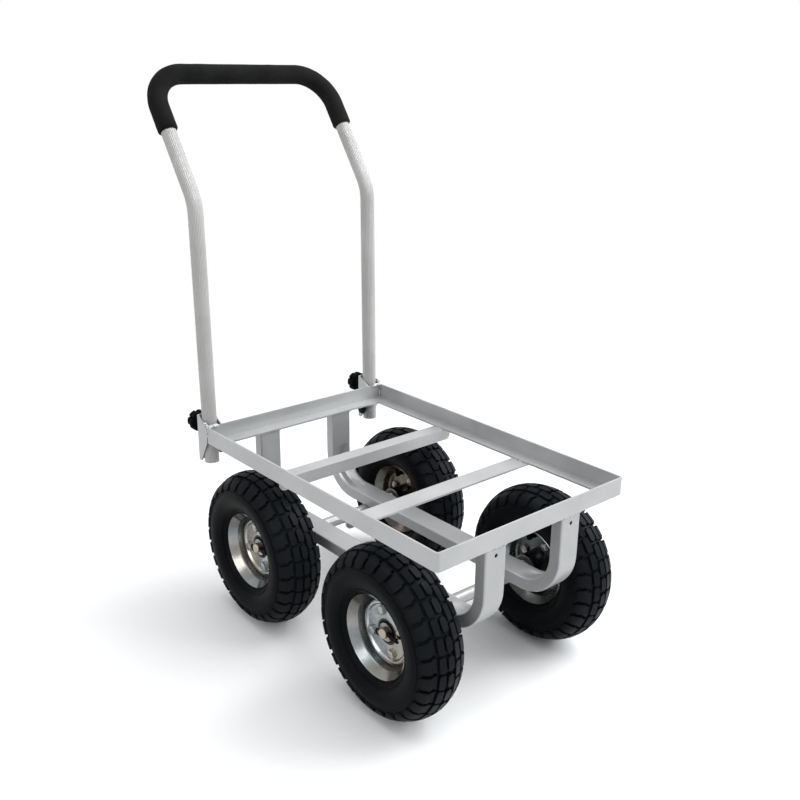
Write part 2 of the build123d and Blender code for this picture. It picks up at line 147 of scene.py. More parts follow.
class Surface:
    """A Principled material with helpers for procedural textures in the piece's own coordinates."""

    def __init__(self, name, color, roughness, metallic=0.0, **sockets):
        self.material = bpy.data.materials.new(name)
        self.material.use_nodes = True
        self.tree = self.material.node_tree
        self.shader = self.tree.nodes["Principled BSDF"]
        self.shader.inputs["Base Color"].default_value = (*color, 1)
        self.shader.inputs["Roughness"].default_value = roughness
        self.shader.inputs["Metallic"].default_value = metallic
        for socket, value in sockets.items():
            self.shader.inputs[socket.replace("_", " ")].default_value = value
        self.place = self.add("TexCoord").outputs["Object"]

    def add(self, kind, links=None, **settings):
        node = self.tree.nodes.new("ShaderNode" + kind)
        for key, value in settings.items():
            if key[0].isupper():
                node.inputs[key.replace("_", " ")].default_value = value
            else:
                setattr(node, key, value)
        for key, socket in (links or {}).items():
            self.tree.links.new(socket, node.inputs[key])
        return node

    def axes(self):
        return self.add("SeparateXYZ", {"Vector": self.place}).outputs[:3]

    def math(self, operation, *values):
        """A math node's result; each value is a number or a socket."""
        node = self.add("Math", operation=operation)
        for value, socket in zip(values, node.inputs):
            if isinstance(value, (int, float)):
                socket.default_value = value
            else:
                self.tree.links.new(value, socket)
        return node.outputs[0]

    def noise(self, scale, detail=3.0, place=None):
        links = {"Vector": place or self.place}
        return self.add("TexNoise", links, Scale=scale, Detail=detail).outputs["Fac"]

    def cells(self, scale):
        return self.add("TexVoronoi", {"Vector": self.place}, Scale=scale).outputs["Distance"]

    def spread(self, value, low, high, start=0.3, end=0.7):
        """A texture's value mapped to a range of numbers."""
        node = self.add("MapRange", {"Value": value}, From_Min=start, From_Max=end, To_Min=low, To_Max=high)
        return node.outputs["Result"]

    def shades(self, value, dark, light, start=0.3, end=0.7):
        """A texture's value mapped to a run of colour."""
        node = self.add("ValToRGB", {"Fac": value})
        for element, place, color in zip(node.color_ramp.elements, (start, end), (dark, light)):
            element.position = place
            element.color = (*color, 1)
        return node.outputs["Color"]

    def tint(self, socket, color):
        """Multiplies what a shader socket already gets by a run of colour."""
        before = self.shader.inputs[socket].links[0].from_socket
        node = self.add("VectorMath", {0: before, 1: color}, operation="MULTIPLY")
        self.wear(socket, node.outputs["Vector"])

    def wear(self, socket, value):
        self.tree.links.new(value, self.shader.inputs[socket])

    def bump(self, height, distance, strength=1.0):
        previous = self.shader.inputs["Normal"].links
        links = {"Height": height}
        if previous:
            links["Normal"] = previous[0].from_socket
        node = self.add("Bump", links, Distance=distance, Strength=strength)
        self.wear("Normal", node.outputs["Normal"])


def satin(name, dark, light, metallic=0.4):
    """Satin silver metal: soft handling marks over a fine even grain."""
    surface = Surface(name, light, 0.4, metallic)
    marks = surface.noise(11, detail=6)
    grain = surface.noise(900, detail=2)
    surface.wear("Base Color", surface.shades(marks, dark, light))
    surface.wear("Roughness", surface.spread(marks, 0.33, 0.46))
    surface.bump(grain, 0.00004, 0.25)
    return surface


def ribbed_tube(name):
    """The handle's drawn tube, with fine ribs along it that follow its lean and its crank, their valleys
    darkened as painted shade.
    """
    surface = satin(name, (0.405, 0.403, 0.39), (0.49, 0.487, 0.474), metallic=0.1)
    x, y, z = surface.axes()
    lean = math.tan(LEAN)
    slope = math.tan(HANDLE_SLOPE)
    crank_y = LEG_Y + lean * (CRANK_Z - LIP_MIDDLE_Z)
    lower = surface.math("MULTIPLY_ADD", z, lean, crank_y - lean * CRANK_Z)
    upper = surface.math("MULTIPLY_ADD", z, slope, crank_y - slope * CRANK_Z)
    back = surface.math("SUBTRACT", y, surface.math("MAXIMUM", lower, upper))
    out = surface.math("SUBTRACT", surface.math("ABSOLUTE", x), LEG_X)
    turn = surface.math("ARCTAN2", out, back)
    ribs = surface.math("SINE", surface.math("MULTIPLY", turn, HANDLE_RIBS))
    # Painted shade in the rib valleys; the ribs themselves are bump.
    surface.tint("Base Color", surface.shades(ribs, (0.84, 0.84, 0.84), WHITE, 0, 1))
    surface.bump(ribs, RIB_DEPTH, 0.8)
    return surface.material


def bent_tube(name):
    """The U-frames' flat tube: its inner wall drawn in along each bend, with painted shade down inside its
    posts.
    """
    surface = satin(name, (0.355, 0.358, 0.36), (0.423, 0.427, 0.429))
    x, y, z = surface.axes()
    along = surface.math("ABSOLUTE", surface.math("SUBTRACT", y, DECK_Y))
    past = surface.math("SUBTRACT", along, U_BEND_FROM_MIDDLE)
    below = surface.math("SUBTRACT", U_BEND_Z, z)
    squares = [surface.math("POWER", side, 2) for side in (past, below)]
    reach = surface.math("SQRT", surface.math("ADD", *squares))
    inside = surface.spread(reach, 1, 0, U_BEND_INSIDE + 0.0005, U_BEND_INSIDE + 0.003)
    off = surface.math("ABSOLUTE", surface.math("SUBTRACT", surface.math("ABSOLUTE", x), U_X))
    dent = surface.math("MULTIPLY", inside, surface.spread(off, 1, 0, 0.004, 0.014))
    for distance in (past, below):
        dent = surface.math("MULTIPLY", dent, surface.spread(distance, 0, 1, -0.012, 0.014))
    surface.bump(surface.math("SUBTRACT", 1, dent), BEND_DENT)
    # Painted shade down inside each post's open top.
    from_post = surface.math("ABSOLUTE", surface.math("SUBTRACT", along, U_POST_FROM_MIDDLE))
    hollow = surface.math("GREATER_THAN", z, U_BEND_Z)
    for distance, size in ((off, U_WIDTH), (from_post, U_DEPTH)):
        within = surface.math("LESS_THAN", distance, (size - U_WALL) / 2)
        hollow = surface.math("MULTIPLY", hollow, within)
    surface.tint("Base Color", surface.shades(hollow, WHITE, HOLLOW_PAINTED_SHADE, 0, 1))
    return surface.material


def weld_metal(name):
    """A fresh weld: bright, rippled and speckled."""
    surface = Surface(name, (0.6, 0.61, 0.62), 0.3, metallic=0.6)
    speckle = surface.cells(700)
    soot = surface.noise(260, detail=4)
    surface.wear("Base Color", surface.shades(soot, (0.22, 0.22, 0.22), (0.6, 0.61, 0.62), 0.36, 0.6))
    surface.wear("Roughness", surface.spread(speckle, 0.22, 0.5))
    surface.bump(speckle, 0.0008, 0.8)
    return surface.material


def from_axle(surface):
    """Each point's distance from the middle plane, and from the nearest axle's line."""
    x, y, z = surface.axes()
    rear = surface.math("GREATER_THAN", y, (FRONT_AXLE_Y + REAR_AXLE_Y) / 2)
    axle = surface.math("MULTIPLY_ADD", rear, REAR_AXLE_Y - FRONT_AXLE_Y, FRONT_AXLE_Y)
    offsets = (surface.math("SUBTRACT", y, axle), surface.math("SUBTRACT", z, AXLE_Z))
    squares = [surface.math("POWER", side, 2) for side in offsets]
    return surface.math("ABSOLUTE", x), surface.math("SQRT", surface.math("ADD", *squares))


def zinc(name, color, rough, inner_painted_shade=None):
    """Zinc plating with warm and cool clouds and spun lines; its inner side may carry painted shade, darker
    on the disc than at its lip.
    """
    surface = Surface(name, color, rough, metallic=1.0)
    x, radius = from_axle(surface)
    spun = surface.noise(420, 3, surface.add("CombineXYZ", {"X": radius, "Y": x}).outputs["Vector"])
    cloud = surface.noise(34, detail=7)
    patches = surface.noise(16, detail=2)
    dark = tuple(0.6 * part for part in color)
    surface.wear("Base Color", surface.shades(cloud, dark, color))
    surface.tint("Base Color", surface.shades(patches, (1, 0.93, 0.86), (0.9, 0.97, 1), 0.4, 0.6))
    # Painted shade on the wheel's inner side, darkened further on the disc inside its lip.
    if inner_painted_shade:
        surface.tint("Base Color", surface.shades(x, inner_painted_shade, WHITE, WHEEL_X, WHEEL_X + RIM_WALL))
        bright = surface.math("MAXIMUM", radius, surface.math("GREATER_THAN", x, WHEEL_X))
        surface.tint("Base Color", surface.shades(bright, (0.5, 0.5, 0.5), WHITE, *INNER_LIP))
    surface.wear("Roughness", surface.spread(cloud, rough + 0.14, rough - 0.03))
    surface.bump(spun, 0.00016, 0.4)
    surface.bump(surface.noise(110, detail=4), 0.0006, 0.22)
    return surface.material


def rubber(name, dark, light, rough):
    """Tyre rubber: nearly black with dusty mottling, lighter on its tread than on its sidewalls, with a fine
    moulded skin.
    """
    surface = Surface(name, dark, rough, Specular_IOR_Level=0.05)
    dust = surface.noise(9, detail=6)
    skin = surface.noise(900, detail=2)
    x, radius = from_axle(surface)
    surface.wear("Base Color", surface.shades(dust, dark, light))
    # Darker near the axle: the colour is cut to 0.3 inside 106 mm and rises to full beyond 120 mm.
    surface.tint("Base Color", surface.shades(radius, (0.3, 0.3, 0.3), WHITE, *TREAD_TONE_RADII))
    surface.wear("Roughness", surface.spread(dust, rough - 0.08, rough + 0.12))
    surface.bump(skin, 0.00012, 0.35)
    return surface.material


def foam(name):
    """Closed-cell foam: matt black, with small pits and a soft sheen."""
    surface = Surface(name, (0.01, 0.01, 0.01), 0.8, Specular_IOR_Level=0.05)
    pits = surface.cells(520)
    tone = surface.noise(22, detail=4)
    surface.wear("Base Color", surface.shades(tone, (0.006, 0.006, 0.006), (0.0115, 0.0115, 0.011)))
    surface.bump(pits, 0.0005, 0.5)
    return surface.material


def plastic(name, color):
    """Moulded plastic with a fine spark-eroded grain."""
    surface = Surface(name, color, 0.45, Specular_IOR_Level=0.02)
    grain = surface.noise(1400, detail=2)
    tone = surface.noise(30, detail=3)
    surface.wear("Roughness", surface.spread(tone, 0.36, 0.55))
    surface.bump(grain, 0.00008, 0.4)
    return surface.material


def steel(name, color, rough, **sockets):
    """Plain or blackened steel with turned marks and a little tarnish."""
    surface = Surface(name, color, rough, **sockets)
    tarnish = surface.noise(70, detail=5)
    dark = tuple(0.6 * part for part in color)
    surface.wear("Base Color", surface.shades(tarnish, dark, color))
    surface.wear("Roughness", surface.spread(tarnish, rough - 0.08, rough + 0.12))
    surface.bump(surface.noise(500, detail=2), 0.00005, 0.4)
    return surface


def axle_steel(name):
    """Brown steel whose shaft is darkened with painted shade, leaving pale cut ends."""
    # Painted shade: the shaft's dark brown; only the last 0.8 mm at each end keeps pale steel, with an
    # uneven edge.
    surface = steel(name, (0.1, 0.075, 0.055), 0.45, metallic=0.6)
    x, y, z = surface.axes()
    shade_edge_noise = surface.noise(160, detail=4)
    along = surface.math("MULTIPLY_ADD", shade_edge_noise, 0.0008, surface.math("ABSOLUTE", x))
    ends = surface.shades(along, (0.1, 0.075, 0.055), (0.47, 0.42, 0.33), AXLE_END - 0.0008, AXLE_END)
    surface.wear("Base Color", ends)
    return surface.material


materials = {
    "frame_aluminium": satin("satin_aluminium", (0.374, 0.377, 0.379), (0.446, 0.449, 0.451)).material,
    "handle": ribbed_tube("ribbed_tube"),
    "u_frames": bent_tube("bent_tube"),
    "welds": weld_metal("weld_metal"),
    "axle_steel": axle_steel("axle_steel"),
    "zinc_fasteners": zinc("zinc_fasteners", (0.45, 0.45, 0.435), 0.26),
    "black_steel": steel("black_steel", (0.004, 0.004, 0.0043), 0.5, Specular_IOR_Level=0.06).material,
    "grip_foam": foam("grip_foam"),
    "knob_plastic": plastic("knob_plastic", (0.003, 0.003, 0.0032)),
    "tyre_rubber": rubber("tyre_rubber", (0.0052, 0.0064, 0.008), (0.01, 0.012, 0.0144), 0.45),
    "tube_rubber": rubber("tube_rubber", (0.012, 0.012, 0.012), (0.018, 0.018, 0.018), 0.6),
    "rim_steel": zinc("rim_steel", (0.32, 0.324, 0.32), 0.15),
    # Inner rims and hubs: painted shade on their inner sides.
    "front_inner_rim": zinc("front_inner_rim_steel", (0.4, 0.4, 0.4), 0.22, (0.54, 0.56, 0.57)),
    "rear_inner_rim": zinc("rear_inner_rim_steel", (0.4, 0.4, 0.39), 0.22, (0.64, 0.57, 0.5)),
    "front_hub": zinc("front_hub_steel", (0.5, 0.505, 0.5), 0.2, (0.52, 0.54, 0.55)),
    "rear_hub": zinc("rear_hub_steel", (0.5, 0.505, 0.5), 0.2, (0.64, 0.56, 0.48)),
    "bearing_steel": steel("bearing_steel", (0.05, 0.05, 0.052), 0.5, metallic=0.6).material,
}

own_looks = {"handle_tube": "handle", "left_u_frame": "u_frames", "right_u_frame": "u_frames"}
for axle in ("front", "rear"):
    for kind in ("inner_rim", "hub"):
        own_looks.update({f"{axle}_{side}_{kind}": f"{axle}_{kind}" for side in ("left", "right")})
for part in frame["record"]["subparts"]:
    look = materials[own_looks.get(part["node"], part["material_slot"])]
    piece = nodes[part["node"]]
    piece.data.materials.clear()
    piece.data.materials.append(look)


def new_piece(name, mesh, slot, body, look=None):
    """Puts a bmesh into the scene as a piece that rides on a body, smooth apart from its sharp edges."""
    bmesh.ops.recalc_face_normals(mesh, faces=mesh.faces)
    for edge in mesh.edges:
        edge.smooth = not edge.is_manifold or edge.calc_face_angle() < SHARP_EDGE
    data = bpy.data.meshes.new(name)
    mesh.to_mesh(data)
    mesh.free()
    data.materials.append(materials[look or slot])
    piece = bpy.data.objects.new(name, data)
    bpy.context.scene.collection.objects.link(piece)
    for polygon in data.polygons:
        polygon.use_smooth = True
    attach(piece, body)
    return piece


def filleted(corners, radius, steps):
    """Points along straight runs between corners, with an arc of the given radius at each inner corner."""
    points = [corners[0]]
    for before, corner, after in zip(corners, corners[1:], corners[2:]):
        start = (before - corner).normalized()
        end = (after - corner).normalized()
        half = start.angle(end) / 2
        centre = corner + (start + end).normalized() * radius / math.sin(half)
        first = corner + start * radius / math.tan(half) - centre
        last = corner + end * radius / math.tan(half) - centre
        axis = first.cross(last)
        turn = first.angle(last)
        for step in range(steps + 1):
            points.append(centre + Matrix.Rotation(turn * step / steps, 3, axis) @ first)
    return points + [corners[-1]]


def resampled(points, spacing):
    """Points at an even spacing along a polyline."""
    lengths = [0.0]
    for a, b in zip(points, points[1:]):
        lengths.append(lengths[-1] + (b - a).length)
    count = max(2, round(lengths[-1] / spacing))
    result = []
    index = 0
    for step in range(count + 1):
        along = lengths[-1] * step / count
        while index < len(points) - 2 and lengths[index + 1] < along:
            index += 1
        span = lengths[index + 1] - lengths[index]
        result.append(points[index].lerp(points[index + 1], (along - lengths[index]) / span))
    return result


def joined(mesh, rings):
    """Faces between each ring of vertices and the next."""
    for first, second in zip(rings, rings[1:]):
        for side in range(len(first)):
            other = (side + 1) % len(first)
            mesh.faces.new((first[side], first[other], second[other], second[side]))


def tube_rings(mesh, points, radii, sides, lumps, grain):
    """Rings of vertices round a path, one per point, joined into a tube; returns the rings."""
    rings = []
    across = Vector((0, 0, 1)).cross(points[1] - points[0])
    if across.length < 1e-9:
        across = Vector((1, 0, 0))
    across.normalize()
    for index, point in enumerate(points):
        ahead = points[min(index + 1, len(points) - 1)] - points[max(index - 1, 0)]
        ahead.normalize()
        across = (across - ahead * across.dot(ahead)).normalized()
        up = ahead.cross(across)
        ring = []
        for side in range(sides):
            angle = 2 * math.pi * side / sides
            direction = across * math.cos(angle) + up * math.sin(angle)
            swell = lumps * noise.noise((point + direction * radii[index]) * grain)
            ring.append(mesh.verts.new(point + direction * (radii[index] + swell)))
        rings.append(ring)
    joined(mesh, rings)
    return rings


def foam_grip():
    """A foam sleeve slid over the handle's bar and corners, with soft rolled ends."""
    spacing = 0.0035
    end_round = 0.004
    end_drop = 0.0025
    clearance = 0.0002
    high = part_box("foam_grip")[1]
    bar_y = high.y - GRIP_RADIUS
    bar_z = high.z - GRIP_RADIUS
    leg_x = high.x - GRIP_RADIUS
    down = Vector((0, -math.sin(HANDLE_SLOPE), -math.cos(HANDLE_SLOPE))) * GRIP_LEG
    left = Vector((-leg_x, bar_y, bar_z))
    right = Vector((leg_x, bar_y, bar_z))
    line = filleted([left + down, left, right, right + down], HANDLE_CORNER, steps=24)
    points = resampled(line, spacing)
    radii = []
    for index in range(len(points)):
        from_end = min(index, len(points) - 1 - index) * spacing
        inset = max(0.0, 1 - from_end / end_round)
        radii.append(GRIP_RADIUS - end_drop * (1 - math.sqrt(1 - inset ** 2)) - clearance)
    mesh = bmesh.new()
    rings = tube_rings(mesh, points, radii, sides=40, lumps=0.00025, grain=60)
    for ring, point in ((rings[0], points[0]), (rings[-1], points[-1])):
        inner = [mesh.verts.new(point.lerp(vert.co, (TUBE_RADIUS + 0.0001) / radii[0])) for vert in ring]
        joined(mesh, [ring, inner])
    grip = new_piece("grip_sleeve", mesh, "grip_foam", "handle")
    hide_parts("foam_grip")


def weld_bead(mesh, corners, radius):
    """A lumpy bead of overlapping puddles along a run of corners, thinner at its ends."""
    points = resampled([Vector(corner) for corner in corners], WELD_STEP)
    radii = []
    for index in range(len(points)):
        puddle = abs(math.sin(math.pi * index * WELD_STEP / WELD_PITCH))
        from_end = min(index, len(points) - 1 - index) * WELD_STEP / radius
        radii.append(radius * (0.8 + 0.2 * puddle) * min(1, 0.4 + 0.6 * from_end))
    rings = tube_rings(mesh, points, radii, WELD_SIDES, 0.3 * radius, WELD_GRAIN)
    mesh.faces.new(rings[0])
    mesh.faces.new(rings[-1])


def weld_piece(name, beads, radius):
    """A piece of several beads, on the chassis."""
    mesh = bmesh.new()
    for corners in beads:
        weld_bead(mesh, corners, radius)
    new_piece(name, mesh, "frame_aluminium", "chassis", "welds")


def bar_welds():
    """Beads where the cross bars' ends meet the deck's side flanges, above and below."""
    flange_gap = 0.002
    bar_gap = 0.003
    side_gap = 0.001
    beads = []
    flange_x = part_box("deck_frame")[1].x - FLANGE_WIDTH
    for bar in ("front_cross_bar", "rear_cross_bar"):
        low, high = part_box(bar)
        for side in (-1, 1):
            for x, gap in ((flange_x, flange_gap), (high.x, bar_gap)):
                beads.append([(side * x, y, high.z) for y in (low.y + gap, high.y - gap)])
            for y in (low.y, high.y):
                beads.append([(side * x, y, high.z) for x in (flange_x + side_gap, high.x - side_gap)])
    weld_piece("bar_welds", beads, radius=0.0015)


def post_welds():
    """A bead round the top of each U-frame post, under the deck's flange, and a fuller one in front."""
    lap = 0.0002
    front_drop = 0.0016
    beads = []
    front_beads = []
    for frame_name in ("left_u_frame", "right_u_frame"):
        low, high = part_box(frame_name)
        for start, end in ((low.y, low.y + U_DEPTH), (high.y - U_DEPTH, high.y)):
            corners = [(low.x, start), (high.x, start), (high.x, end), (low.x, end), (low.x, start)]
            beads.append([(x, y, high.z - lap) for x, y in corners])
        front_beads.append([(x, low.y, high.z - front_drop) for x in (low.x, high.x)])
    weld_piece("post_welds", beads, radius=0.0014)
    weld_piece("front_post_welds", front_beads, radius=0.0028)


def sleeve_welds():
    """Two beads in the wedges between each axle sleeve and each U-frame rail."""
    end_gap = 0.002
    drop = 0.0014
    beads = []
    for axle_y in (FRONT_AXLE_Y, REAR_AXLE_Y):
        for frame_name in ("left_u_frame", "right_u_frame"):
            low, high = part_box(frame_name)
            for way in (-1, 1):
                y = axle_y + way * 0.65 * SLEEVE_RADIUS
                beads.append([(x, y, low.z - drop) for x in (low.x + end_gap, high.x - end_gap)])
    weld_piece("sleeve_welds", beads, radius=0.0022)


def bracket_welds():
    """Beads that hold each handle bracket to the deck's rear corner."""
    low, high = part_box("deck_frame")
    beads = []
    top_beads = []
    for side in (-1, 1):
        edge = side * (high.x - 0.001)
        inner = side * (2 * LEG_X - high.x)
        top = high.z - 0.0002
        groove = high.y - 0.0024
        back = high.y - 0.0026
        beads.append([(edge, groove, low.z + 0.01), (edge, groove, top)])
        beads.append([(inner, high.y, low.z + 0.001), (inner, high.y, top)])
        slope = (edge, back + 0.013, top + 0.0064)
        top_beads.append([slope, (edge, back, top), (side * (LEG_X - 0.008), back, top)])
    weld_piece("bracket_welds", beads, radius=0.0025)
    weld_piece("bracket_top_welds", top_beads, radius=0.0037)


def mitre_welds():
    """Low dressed beads across the deck's mitred corners, on its flange and up inside its lip."""
    low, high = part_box("deck_frame")
    outer_inset = 0.0048
    inner_inset = FLANGE_WIDTH - 0.0008
    floor_z = low.z + ANGLE_WALL - 0.0006
    top_z = high.z - 0.002
    beads = []
    for x, way_x in ((low.x, 1), (high.x, -1)):
        for y, way_y in ((low.y, 1), (high.y, -1)):
            outer = (x + way_x * outer_inset, y + way_y * outer_inset)
            inner = (x + way_x * inner_inset, y + way_y * inner_inset)
            beads.append([(*inner, floor_z), (*outer, floor_z), (*outer, top_z)])
    weld_piece("mitre_welds", beads, radius=0.0013)


def nut_welds():
    """A ring of weld where each clamp nut sits on its bracket."""
    nut_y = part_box("weld_nuts")[0].y
    reach = 0.56 * NUT_WIDTH
    turns = [2 * math.pi * step / 24 for step in range(25)]
    ring = [(reach * math.cos(turn), reach * math.sin(turn)) for turn in turns]
    beads = [[(side * LEG_X + x, nut_y, CLAMP_Z + z) for x, z in ring] for side in (-1, 1)]
    weld_piece("nut_welds", beads, radius=0.0011)


def spoke(along, reach, angle):
    """A point along the X axis, at a reach and an angle round it."""
    return Vector((along, reach * math.cos(angle), reach * math.sin(angle)))


def turned(mesh, place, profile, sides, flutes=0, depth=0.0):
    """Rings of (along, radius) turned round a place's own X axis, with optional flutes."""
    rings = []
    for along, radius in profile:
        ring = []
        for side in range(sides):
            angle = 2 * math.pi * side / sides
            reach = radius - depth * (0.5 + 0.5 * math.cos(flutes * angle)) if flutes else radius
            ring.append(mesh.verts.new(place @ spoke(along, reach, angle)))
        rings.append(ring)
    joined(mesh, rings)
    return rings


def hexagon(mesh, place, across, height, bore):
    """A hexagon along a place's own X axis, its far edge chamfered, round a bore."""
    rings = [[], [], [], []]
    flat = across / 2
    crown = 0.94 * flat
    chamfer = math.tan(math.radians(30))
    for step in range(36):
        angle = math.pi * step / 18
        radius = flat / math.cos(angle % (math.pi / 3) - math.pi / 6)
        shoulder = height - (radius - crown) * chamfer
        edges = ((0, radius), (shoulder, radius), (height, crown), (height, bore))
        for ring, (along, reach) in zip(rings, edges):
            ring.append(mesh.verts.new(place @ spoke(along, reach, angle)))
    joined(mesh, rings)
    return rings


def moved(*offset):
    return Matrix.Translation(Vector(offset))


def turn_about(axis, angle):
    return Matrix.Rotation(angle, 4, axis)


def thread_end(mesh, place, start, end):
    """A bolt's end past its nut: a few turns of thread and a chamfer."""
    profile = []
    turns = 3
    for index in range(turns):
        base = start + (end - start) * index / turns
        profile += [(base, BOLT_RADIUS), (base + 0.4 * (end - start) / turns, 0.88 * BOLT_RADIUS)]
    profile += [(end - 0.0004, BOLT_RADIUS), (end, 0.8 * BOLT_RADIUS)]
    rings = turned(mesh, place, profile, 24)
    mesh.faces.new(rings[-1])


def rim_bolts(wheel, place):
    """Hex bolts on plain washers through hub and rim, each with a nut and a little thread behind."""
    mesh = bmesh.new()
    for index in range(4):
        bolt = place @ turn_about("X", BOLT_FIRST + index * math.pi / 2) @ moved(0, BOLT_CIRCLE, 0)
        head = bolt @ moved(HUB_FACE, 0, 0)
        washer = 0.62 * BOLT_WIDTH
        turned(mesh, head, [(0, washer), (WASHER_WALL, washer), (WASHER_WALL, 0.3 * BOLT_WIDTH)], 32)
        top = hexagon(mesh, head, BOLT_WIDTH, BOLT_HEAD, 0.55 * BOLT_RADIUS)
        mesh.faces.new(top[-1])
        nut = bolt @ moved(-RIM_WALL, 0, 0) @ turn_about("Z", math.pi)
        hexagon(mesh, nut, BOLT_WIDTH, BOLT_HEAD, BOLT_RADIUS)
        thread_end(mesh, nut, BOLT_HEAD, BOLT_HEAD + THREAD_LENGTH)
    piece = new_piece(wheel + "_hex_bolts", mesh, "zinc_fasteners", wheel + "_wheel")
    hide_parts(wheel + "_rim_bolts")


def bearing_seal(wheel, place):
    """The rubber seal in the face of the outer bearing."""
    inner, outer = BEARING_SEAL
    face = HUB_FACE - SEAL_RECESS
    middle = (inner + outer) / 2
    profile = [(face, inner), (face + 0.0004, inner + 0.0004), (face + 0.0001, middle)]
    profile += [(face + 0.0004, outer - 0.0008), (face, outer)]
    mesh = bmesh.new()
    turned(mesh, place, profile, 48)
    new_piece(wheel + "_bearing_seal", mesh, "tube_rubber", wheel + "_wheel")


def valve_cap(wheel, place):
    """A fluted dust cap on the tube's valve stem."""
    stem = place @ turn_about("X", BOLT_FIRST + math.pi / 4) @ moved(VALVE_OFFSET, VALVE_END, 0)
    end = stem @ turn_about("Z", -math.pi / 2)
    mesh = bmesh.new()
    skirt = VALVE_RADIUS + 0.0006
    turned(mesh, end, [(-0.0062, VALVE_RADIUS), (-0.0062, skirt + 0.0006), (-0.005, skirt + 0.0006)], 72)
    body = [(-0.005, skirt), (-0.004, skirt + 0.0004), (0.0004, skirt + 0.0003), (0.0014, 0.8 * skirt)]
    rings = turned(mesh, end, body, 72, flutes=18, depth=0.0005)
    top = turned(mesh, end, [(0.0014, 0.79 * skirt), (0.002, 0.4 * skirt)], 72)
    mesh.faces.new(top[-1])
    mesh.faces.new(rings[0])
    new_piece(wheel + "_valve_cap", mesh, "knob_plastic", wheel + "_wheel")


def sidewall_rings(wheel, place):
    """Fine moulded ribs round both sides of a tyre: two near its rim and one under its tread blocks."""
    mesh = bmesh.new()
    for side in (1, -1):
        for arc, rise in ((SIDEWALL_LOWER, -40), (SIDEWALL_LOWER, -35), (SIDEWALL_UPPER, 20)):
            angle = math.radians(rise)
            across = arc[0] + arc[2] * math.cos(angle)
            radius = arc[1] + arc[2] * math.sin(angle)
            profile = []
            for step in range(7):
                turn = math.pi * step / 6 - math.pi / 2 + angle
                rib = (across + SIDEWALL_RIB * math.cos(turn), radius + SIDEWALL_RIB * math.sin(turn))
                profile.append((side * rib[0], rib[1]))
            turned(mesh, place, profile, 180)
    new_piece(wheel + "_sidewall_rings", mesh, "tyre_rubber", wheel + "_wheel")


def wheels():
    """The small pieces of all four wheels, each placed with its own X axis outwards."""
    for axle, axle_y in (("front", FRONT_AXLE_Y), ("rear", REAR_AXLE_Y)):
        for side, way in (("left", -1), ("right", 1)):
            wheel = axle + "_" + side
            place = moved(way * WHEEL_X, axle_y, AXLE_Z) @ turn_about("Z", 0 if way > 0 else math.pi)
            rim_bolts(wheel, place)
            bearing_seal(wheel, place)
            valve_cap(wheel, place)
            sidewall_rings(wheel, place)


def split_pins():
    """A split pin through each axle end: one folded wire, its eye behind and its legs splayed in front, the
    legs thickened to stand in partly for their shadow.
    """
    mesh = bmesh.new()
    eye_radius = 0.0045
    turns = [math.pi * step / 16 for step in range(-13, 14)]
    eye = [Vector((0, PIN_EYE + eye_radius * math.cos(turn), eye_radius * math.sin(turn))) for turn in turns]
    shaft_side = -0.0085
    lower_leg = [(0.0044, -0.0335, -0.0082), (0.0018, -0.0165, -0.0074), (0, shaft_side, -PIN_WIRE)]
    upper_leg = [(0, shaft_side, PIN_WIRE), (0.0018, -0.0165, -0.0036), (0.0044, -0.033, -0.0042)]
    neck = PIN_EYE - eye_radius
    wire = [Vector(point) for point in lower_leg + [(0, neck - 0.003, -PIN_WIRE)]] + eye
    wire += [Vector(point) for point in [(0, neck - 0.003, PIN_WIRE)] + upper_leg]
    points = resampled(wire, 0.0008)
    # The legs are drawn about twice as thick as the wire; the extra black thickness stands in partly for
    # their shadow.
    radii = [PIN_LEG_AND_SHADOW if point.y < shaft_side else PIN_WIRE + 0.0001 for point in points]
    for axle_y in (FRONT_AXLE_Y, REAR_AXLE_Y):
        for side in (-1, 1):
            place = moved(side * PIN_X, axle_y, AXLE_Z) @ turn_about("X", -PIN_TILT)
            place = place @ Matrix.Diagonal((side, 1, 1, 1))
            path = [place @ point for point in points]
            rings = tube_rings(mesh, path, radii, sides=12, lumps=0.0, grain=1)
            mesh.faces.new(rings[0])
            mesh.faces.new(rings[-1])
    piece = new_piece("split_pins", mesh, "black_steel", "chassis")
    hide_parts("cotter_pins")


def clamp_nuts():
    """Hex nuts behind the bracket webs, for the clamp screws."""
    low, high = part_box("weld_nuts")
    mesh = bmesh.new()
    for side in (-1, 1):
        place = moved(side * LEG_X, low.y, CLAMP_Z) @ turn_about("Z", math.pi / 2)
        rings = hexagon(mesh, place, NUT_WIDTH, high.y - low.y, NUT_BORE)
        bore = turned(mesh, place, [(high.y - low.y, NUT_BORE), (0, NUT_BORE)], 36)
        joined(mesh, [rings[-1], bore[0]])
    piece = new_piece("clamp_nuts", mesh, "zinc_fasteners", "chassis")
    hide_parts("weld_nuts")


def set_screws():
    """Black hex-headed screws in the brackets' inner flanges."""
    low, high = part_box("set_screws")
    middle_y = (low.y + high.y) / 2
    middle_z = (low.z + high.z) / 2
    mesh = bmesh.new()
    for side in (-1, 1):
        tip = moved(side * high.x, middle_y, middle_z) @ turn_about("Z", math.pi if side > 0 else 0)
        head = tip @ moved(BRACKET_WALL, 0, 0)
        shank = [(0, 0.8 * SET_SCREW_SHANK), (0.0008, SET_SCREW_SHANK), (BRACKET_WALL, SET_SCREW_SHANK)]
        rings = turned(mesh, tip, shank, 36)
        mesh.faces.new(rings[0])
        top = hexagon(mesh, head, SET_SCREW_WIDTH, SET_SCREW_HEAD, 0.5 * SET_SCREW_SHANK)
        joined(mesh, [rings[-1], top[0]])
        mesh.faces.new(top[-1])
    piece = new_piece("hex_set_screws", mesh, "black_steel", "chassis")
    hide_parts("set_screws")


